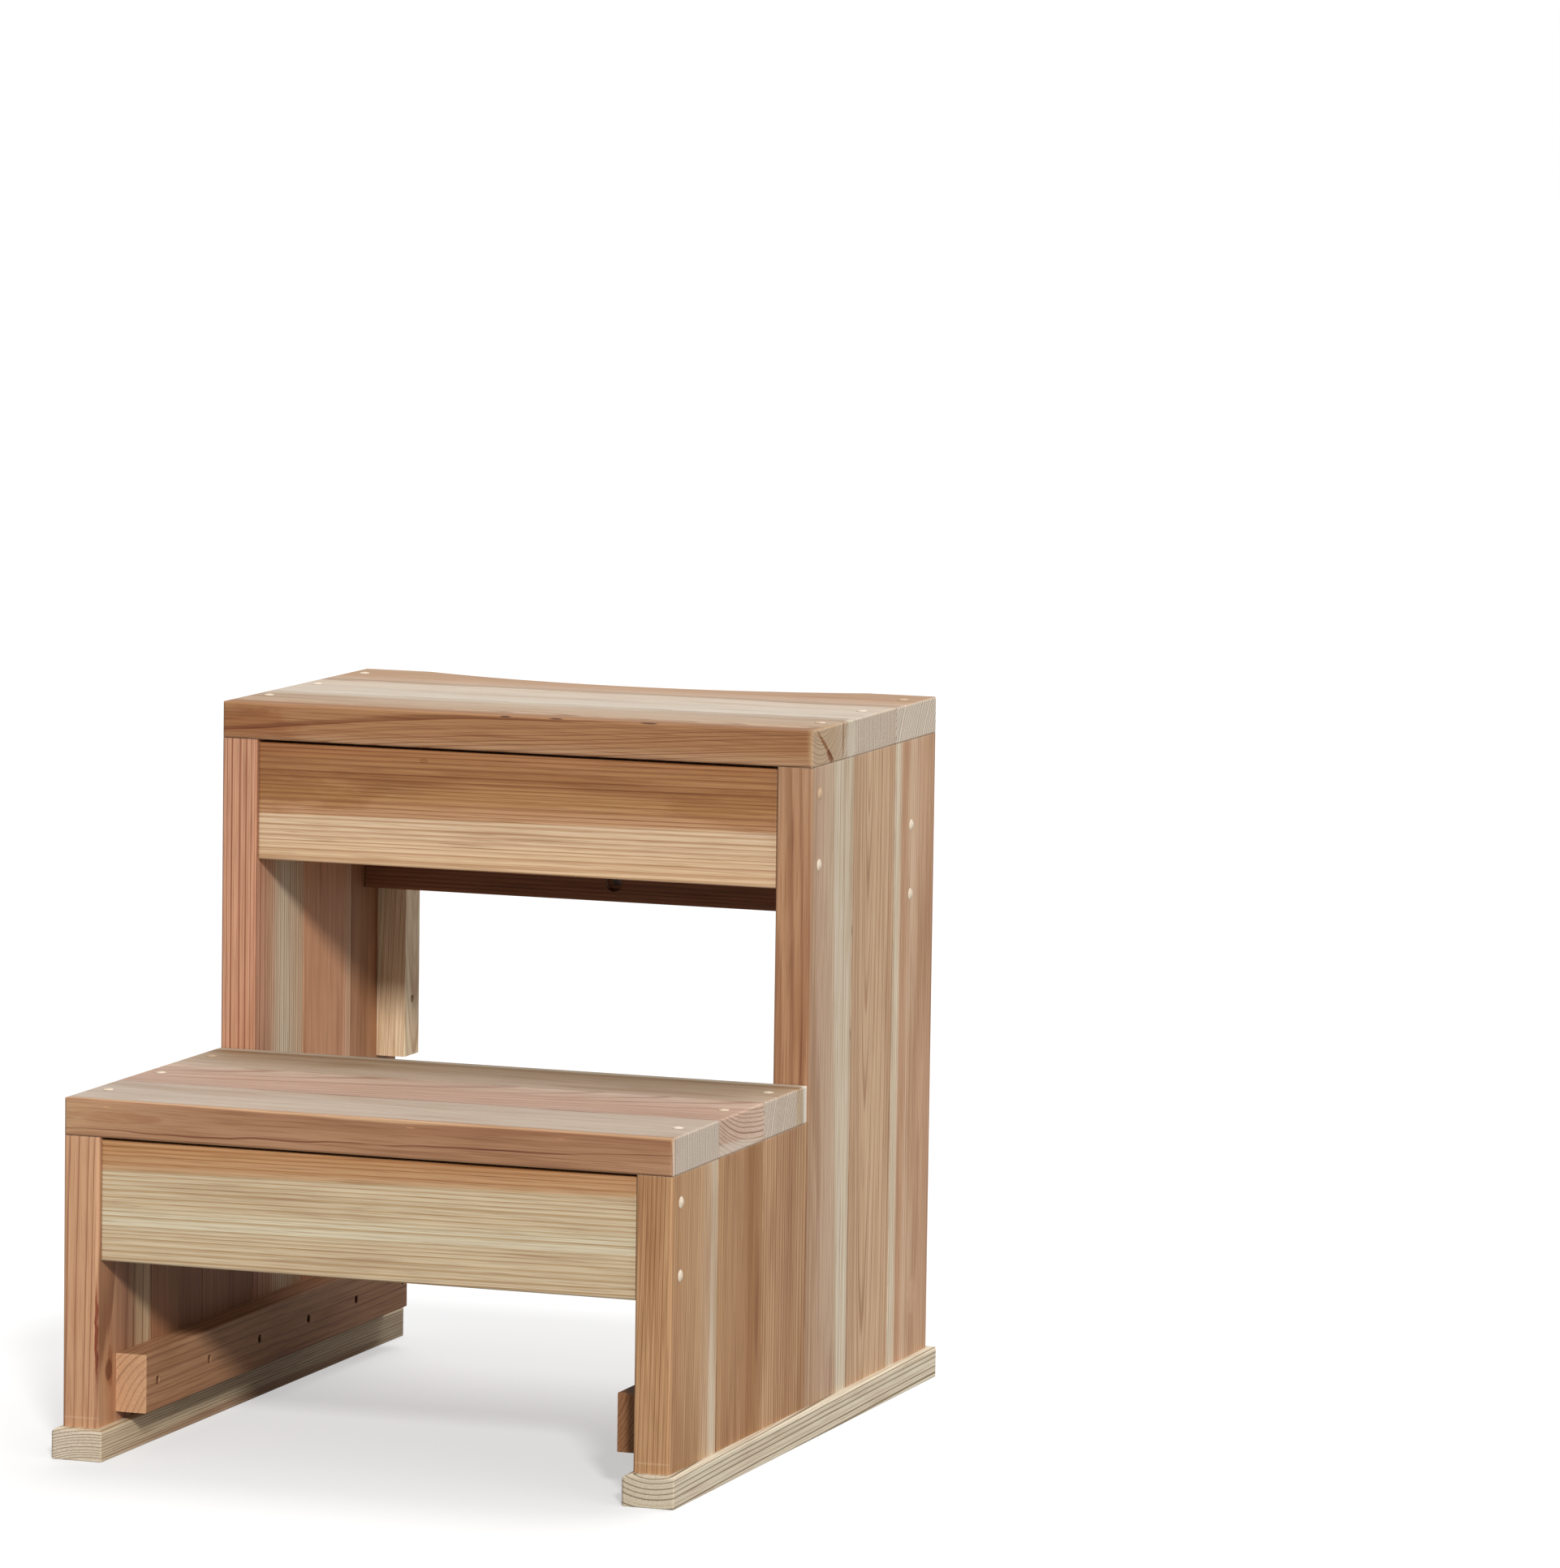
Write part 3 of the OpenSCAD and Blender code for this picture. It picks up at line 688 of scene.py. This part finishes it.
PLANK = {
    "lower_apron": {
        "bands": [
            (-60, (204, 184, 152)), (-26, (205, 186, 154)), (-17, (212, 200, 172)), (-8, (212, 200, 172)),
            (2, (205, 186, 154)), (34, (207, 189, 158)), (37, (194, 156, 116)), (44, (189, 146, 104)),
            (60, (188, 141, 96)),
        ],
        "Pith A": -380.0, "Pith B": 70.0, "Slope A": 0.012, "Ring": 5.4, "Sharp": 2.2, "Steady": 0.8,
        "Wander": 3.0, "Seed": 19.6, "Band drift": -0.016,
        "contrast": 0.68, "line": (204, 172, 126), "fine": 0.45, "coarse": 0.2, "mottle": 0.3,
    },
    "upper_apron": {
        "bands": [
            (-60, (218, 188, 152)), (-10, (215, 189, 157)), (-7, (192, 150, 112)), (14, (176, 133, 86)),
            (38, (168, 123, 79)), (60, (162, 111, 68)),
        ],
        "Pith A": -460.0, "Pith B": -60.0, "Slope A": 0.01, "Ring": 5.2, "Sharp": 2.0, "Steady": 0.85,
        "Wander": 2.0, "Seed": 20.4, "Band drift": -0.015,
        "contrast": 0.62, "line": (190, 152, 112), "fine": 0.45, "coarse": 0.18, "mottle": 0.7,
        "marks": [
            Mark((-262, 14, -19), (110, 26, 8), (214, 184, 146), 0.55, ragged=3.0),
            Mark((250, 20, -19), (100, 26, 8), (220, 192, 156), 0.4, ragged=3.0),
            Mark((10, 38, -19), (170, 8, 8), (206, 174, 138), 0.45, ragged=3.0),
            Mark((-100, 50, -19), (6, 3, 6), (200, 156, 122), 0.4, ragged=1.6),
        ],
    },
    "rear_rail": {
        "bands": [(-60, (146, 96, 62)), (60, (134, 84, 54))],
        "Pith A": -240.0, "Pith B": 60.0, "Ring": 5.0, "Wander": 6.0, "Seed": 21.2,
        "contrast": 0.9,
    },
}
RUNNER = {
    "left_base_runner": {
        "bands": [(-27, (224, 210, 184)), (27, (224, 206, 176))],
        "Pith A": 20.0, "Pith B": -140.0, "Ring": 3.3, "Sharp": 3.5, "Steady": 0.8, "Wander": 4.0,
        "Seed": 22.6,
        "contrast": 1.0, "line": (186, 166, 136), "coarse": 0.2, "mottle": 0.15, "end": (226, 218, 206),
        "end mix": 0.4, "end lines": 0.75,
        "marks": [
            Mark((0, 27, -12), (420, 4, 7), (206, 166, 148), 0.6, ragged=0.6),
        ],
    },
    "right_base_runner": {
        "bands": [(-27, (216, 206, 184)), (27, (220, 209, 187))],
        "Pith A": 4.0, "Pith B": 78.0, "Slope B": 0.012, "Ring": 6.4, "Sharp": 7.0, "Steady": 0.9,
        "Wander": 4.0, "Seed": 23.8,
        "contrast": 1.0, "line": (146, 130, 104), "coarse": 0.2, "mottle": 0.15, "end": (214, 204, 182),
        "end mix": 0.3, "end lines": 0.55,
    },
}
BOTTOM_CLEAT = {
    "left_bottom_cleat": {
        "bands": [(-29, (186, 138, 100)), (29, (192, 146, 108))],
        "Pith A": -70.0, "Pith B": 90.0, "Ring": 7.0, "Sharp": 6.0, "Wander": 9.0, "Seed": 24.3,
        "contrast": 0.6, "fine": 0.4, "end": (222, 178, 138), "end lines": 0.5, "hole shade": 0.9,
    },
    "right_bottom_cleat": {
        "bands": [(-29, (158, 108, 70)), (29, (150, 102, 66))],
        "Pith A": 60.0, "Pith B": -120.0, "Ring": 3.6, "Wander": 9.0, "Seed": 25.7,
        "contrast": 0.8, "end": (150, 106, 70), "hole shade": 0.9,
    },
}
REAR_CLEAT = {
    "left_rear_cleat": {
        "bands": [(-20, (242, 220, 186)), (20, (238, 216, 182))],
        "Pith A": 5.0, "Pith B": -50.0, "Slope B": 0.04, "Ring": 5.5, "Wander": 6.0, "Seed": 26.1,
        "contrast": 0.5, "line": GOLD_LINE,
    },
    "right_rear_cleat": {
        "bands": [(-20, (216, 178, 126)), (20, (220, 184, 134))],
        "Pith A": -60.0, "Pith B": 60.0, "Ring": 4.0, "Wander": 6.0, "Seed": 27.9,
        "contrast": 0.6, "line": GOLD_LINE,
    },
}
# Each family of boards, with the axes of its length, width and thickness.
BOARD_KINDS = (
    (SIDE, "ZYX"),
    (TREAD, "XYZ"),
    (PLANK, "XZY"),
    (RUNNER, "YXZ"),
    (BOTTOM_CLEAT, "YZX"),
    (REAR_CLEAT, "ZYX"),
)


def give_material(node, material):
    """Put one material on a CAD node, in place of its plain one."""
    node.data.materials.clear()
    node.data.materials.append(material)


def dress_boards():
    for family, axes in BOARD_KINDS:
        for name, figure in family.items():
            low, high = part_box(name)
            wood = {**FIGURE, **LOOK, **figure}
            material = board_material("wood_" + name, axes, (low + high) / 2, (high - low) / 2, wood)
            give_material(NODES[name], material)


# ---- plugs and screws ----

PLUG_PACE = (900.0, 160.0, 900.0)  # how quickly the plugs' grain changes, for each metre
PLUG_PATCH = 18.0                  # and their tone
STEEL_PACE = 900.0
PLUG_SIDES = 36
CROWN_ROWS = 10
CROWN_SHADE = 0.75                 # how near the crown's edge comes to the rim's own mark of 1
TREAD_CROWN = (0.0, 1.4 * MM)      # how far its middle stands over the plain plug, and its rim below that
SIDE_CROWN = (0.8 * MM, 2.4 * MM)


def plug_material():
    """Face-grain plugs, pale on the crown, with a dark rim round the head: partly a glue line and partly
    painted shade where the plug stands out of the board.
    """
    material = bpy.data.materials.new("wood_plugs")
    material.use_nodes = True
    n = Net(material.node_tree)
    shader = n.tree.nodes["Principled BSDF"]
    place = n.node("ShaderNodeTexCoord").outputs["Object"]
    grain = n.stretched(place, PLUG_PACE, 3.0, 0.6)[0]
    patch = n.noise(place, 1.0, 0.5, PLUG_PATCH)[0]
    colour = n.ramp(grain, [(0.30, srgb(206, 186, 162)), (0.62, srgb(224, 210, 190))])
    colour = n.tinted(n.step(patch, 0.46, 0.66), colour, (228, 208, 188))
    rim = n.node("ShaderNodeAttribute", attribute_name="rim").outputs["Fac"]
    rough_rim = n.add(rim, n.mul(n.sub(grain, 0.5), 0.3))
    # Dark rim round the head: partly a glue line, partly painted shade where the plug stands out of the
    # board.
    colour = n.mix(n.step(rough_rim, 0.80, 1.0, 0.0, 0.9), colour, srgb(112, 78, 54))
    n.feed(shader.inputs["Base Color"], colour)
    n.feed(shader.inputs["Roughness"], n.step(grain, 0.3, 0.7, 0.58, 0.44))
    n.feed(shader.inputs["Normal"], n.bump(grain, 0.3, 0.2 * MM))
    return material


def islands(mesh):
    """The separate solids of a mesh, each as its low and high corner."""
    work = bmesh.new()
    work.from_mesh(mesh)
    boxes = []
    left = set(work.verts)
    while left:
        found = [left.pop()]
        for vert in found:
            for edge in vert.link_edges:
                other = edge.other_vert(vert)
                if other in left:
                    left.remove(other)
                    found.append(other)
        corners = [vert.co for vert in found]
        low = Vector([min(corner[i] for corner in corners) for i in range(3)])
        high = Vector([max(corner[i] for corner in corners) for i in range(3)])
        boxes.append((low, high))
    work.free()
    return boxes


def plug_profile(radius, length, crown):
    """Radius, height over the plain head and rim mark of each row, from the crown down to the glued end."""
    middle_up, dome = crown
    rows = []
    for step in range(1, CROWN_ROWS):
        out = step / CROWN_ROWS
        rows.append((radius * out, middle_up - dome * out ** 2, CROWN_SHADE * out))
    return rows + [(radius, middle_up - dome, 1.0), (radius, -length, 1.0)]


def build_plugs(name, axis, sign, material, crown):
    """Turned plugs with a crowned head in place of the plain ones. sign tells which way the heads face."""
    work = bmesh.new()
    rim = work.verts.layers.float.new("rim")
    side_a, side_b = (i for i in range(3) if i != axis)
    for low, high in islands(NODES[name].data):
        middle = (low + high) / 2
        radius = (high[side_a] - low[side_a]) / 2
        head = high[axis] if sign > 0 else low[axis]
        rows = []
        for r, up, mark in plug_profile(radius, high[axis] - low[axis], crown):
            row = []
            for k in range(PLUG_SIDES):
                turn = 2 * math.pi * k / PLUG_SIDES
                spot = list(middle)
                spot[side_a] += r * math.cos(turn)
                spot[side_b] += r * math.sin(turn)
                spot[axis] = head + sign * up
                vert = work.verts.new(spot)
                vert[rim] = mark
                row.append(vert)
            rows.append(row)
        top = list(middle)
        top[axis] = head + sign * crown[0]
        tip = work.verts.new(top)
        for k in range(PLUG_SIDES):
            after = (k + 1) % PLUG_SIDES
            for inner, outer in zip(rows, rows[1:]):
                work.faces.new((inner[k], outer[k], outer[after], inner[after]))
            work.faces.new((tip, rows[0][k], rows[0][after]))
        work.faces.new(rows[-1])
    bmesh.ops.recalc_face_normals(work, faces=work.faces[:])
    mesh = bpy.data.meshes.new("turned_" + name)
    work.to_mesh(mesh)
    work.free()
    mesh.shade_smooth()
    mesh.materials.append(material)
    piece = bpy.data.objects.new("turned_" + name, mesh)
    bpy.context.scene.collection.objects.link(piece)
    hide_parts(name)
    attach(piece, "root")


def steel_material():
    """Dulled screw steel with faint turning marks."""
    material = bpy.data.materials.new("screw_steel")
    material.use_nodes = True
    n = Net(material.node_tree)
    shader = n.tree.nodes["Principled BSDF"]
    place = n.node("ShaderNodeTexCoord").outputs["Object"]
    marks = n.noise(place, 4.0, 0.6, STEEL_PACE)[0]
    n.feed(shader.inputs["Base Color"], n.ramp(marks, [(0.3, srgb(50, 46, 42)), (0.7, srgb(84, 78, 72))]))
    n.feed(shader.inputs["Roughness"], n.step(marks, 0.3, 0.7, 0.28, 0.46))
    shader.inputs["Metallic"].default_value = 1.0
    return material


def dress_fasteners():
    plugs = plug_material()
    build_plugs("lower_tread_plugs", AXES["Z"], 1, plugs, TREAD_CROWN)
    build_plugs("upper_tread_plugs", AXES["Z"], 1, plugs, TREAD_CROWN)
    build_plugs("left_side_plugs", AXES["X"], -1, plugs, SIDE_CROWN)
    build_plugs("right_side_plugs", AXES["X"], 1, plugs, SIDE_CROWN)
    steel = steel_material()
    for name, node in NODES.items():
        if name.endswith("_screws"):
            give_material(node, steel)


# ---- floor, light and camera ----

FLOOR_SIZE = 60
FLOOR_BOUNCE = 0.34   # grey that the floor has for the light
FLOOR_PAPER = 0.96    # and for the lens, half diffuse and half glowing
WORLD_LIGHT = 0.38
WORLD_SEEN = 1.0

CAMERA_PLACE = (3.1606, -8.1131, 1.6157)
CAMERA_YAW, CAMERA_PITCH, CAMERA_ROLL = 19.503, 6.298, 0.822
LENS_MM = 197.9
SENSOR_MM = 36


def plain_shader(n, kind, grey, strength=None):
    made = n.node(kind)
    made.inputs["Color"].default_value = (grey, grey, grey, 1)
    if strength is not None:
        made.inputs["Strength"].default_value = strength
    return made.outputs[0]


def camera_only(n, other, seen):
    """Mix two shaders of the stage: the first for everything else, the second for what the lens sees."""
    lens = n.node("ShaderNodeLightPath").outputs["Is Camera Ray"]
    return n.feed_all(n.node("ShaderNodeMixShader"), lens, other, seen)[0]


def add_floor():
    """A white sweep of paper. Its bounce is held back, so that the steps keep their shadows."""
    bpy.ops.mesh.primitive_plane_add(size=FLOOR_SIZE, location=(0, 0, 0))
    floor = bpy.context.object
    floor.name = "floor"
    material = bpy.data.materials.new("floor_white")
    material.use_nodes = True
    n = Net(material.node_tree)
    n.tree.nodes.clear()
    dull = plain_shader(n, "ShaderNodeBsdfDiffuse", FLOOR_BOUNCE)
    paper = plain_shader(n, "ShaderNodeBsdfDiffuse", FLOOR_PAPER)
    glow = plain_shader(n, "ShaderNodeEmission", 1.0, 1.0)
    white = n.feed_all(n.node("ShaderNodeMixShader"), 0.5, paper, glow)[0]
    n.feed_all(n.node("ShaderNodeOutputMaterial"), camera_only(n, dull, white))
    floor.data.materials.append(material)


def add_lamp(name, towards, strength, angle, colour=(1, 1, 1)):
    """A far, soft lamp that shines along towards; angle is how wide it looks, in degrees."""
    data = bpy.data.lights.new(name, "SUN")
    data.energy = strength
    data.angle = math.radians(angle)
    data.color = colour
    lamp = bpy.data.objects.new(name, data)
    bpy.context.scene.collection.objects.link(lamp)
    lamp.rotation_euler = Vector(towards).to_track_quat("-Z", "Y").to_euler()


def add_lights():
    world = bpy.data.worlds.new("studio")
    world.use_nodes = True
    n = Net(world.node_tree)
    n.tree.nodes.clear()
    dim = plain_shader(n, "ShaderNodeBackground", 1.0, WORLD_LIGHT)
    bright = plain_shader(n, "ShaderNodeBackground", 1.0, WORLD_SEEN)
    n.feed_all(n.node("ShaderNodeOutputWorld"), camera_only(n, dim, bright))
    bpy.context.scene.world = world
    add_lamp("key", (-0.55, 1.0, -0.58), 2.32, 6.5, (1.0, 0.99, 0.97))
    add_lamp("overhead", (-0.05, -0.45, -1.0), 1.60, 36)
    add_lamp("side_fill", (-1.0, 0.25, -0.45), 0.60, 50)


def add_camera():
    """Long lens, from the front right and a little above, as the steps are usually shown."""
    turn = Matrix.Rotation(math.radians(CAMERA_YAW), 3, "Z")
    look_down = Matrix.Rotation(math.radians(90 - CAMERA_PITCH), 3, "X")
    tilt = Matrix.Rotation(math.radians(CAMERA_ROLL), 3, "Z")
    data = bpy.data.cameras.new("camera")
    data.sensor_width = SENSOR_MM
    data.lens = LENS_MM
    data.clip_end = 100
    camera = bpy.data.objects.new("camera", data)
    camera.matrix_world = Matrix.Translation(CAMERA_PLACE) @ (turn @ look_down @ tilt).to_4x4()
    bpy.context.scene.collection.objects.link(camera)
    bpy.context.scene.camera = camera


add_camera()
add_floor()
add_lights()
dress_boards()
dress_fasteners()
bpy.context.scene.view_settings.view_transform = "Standard"
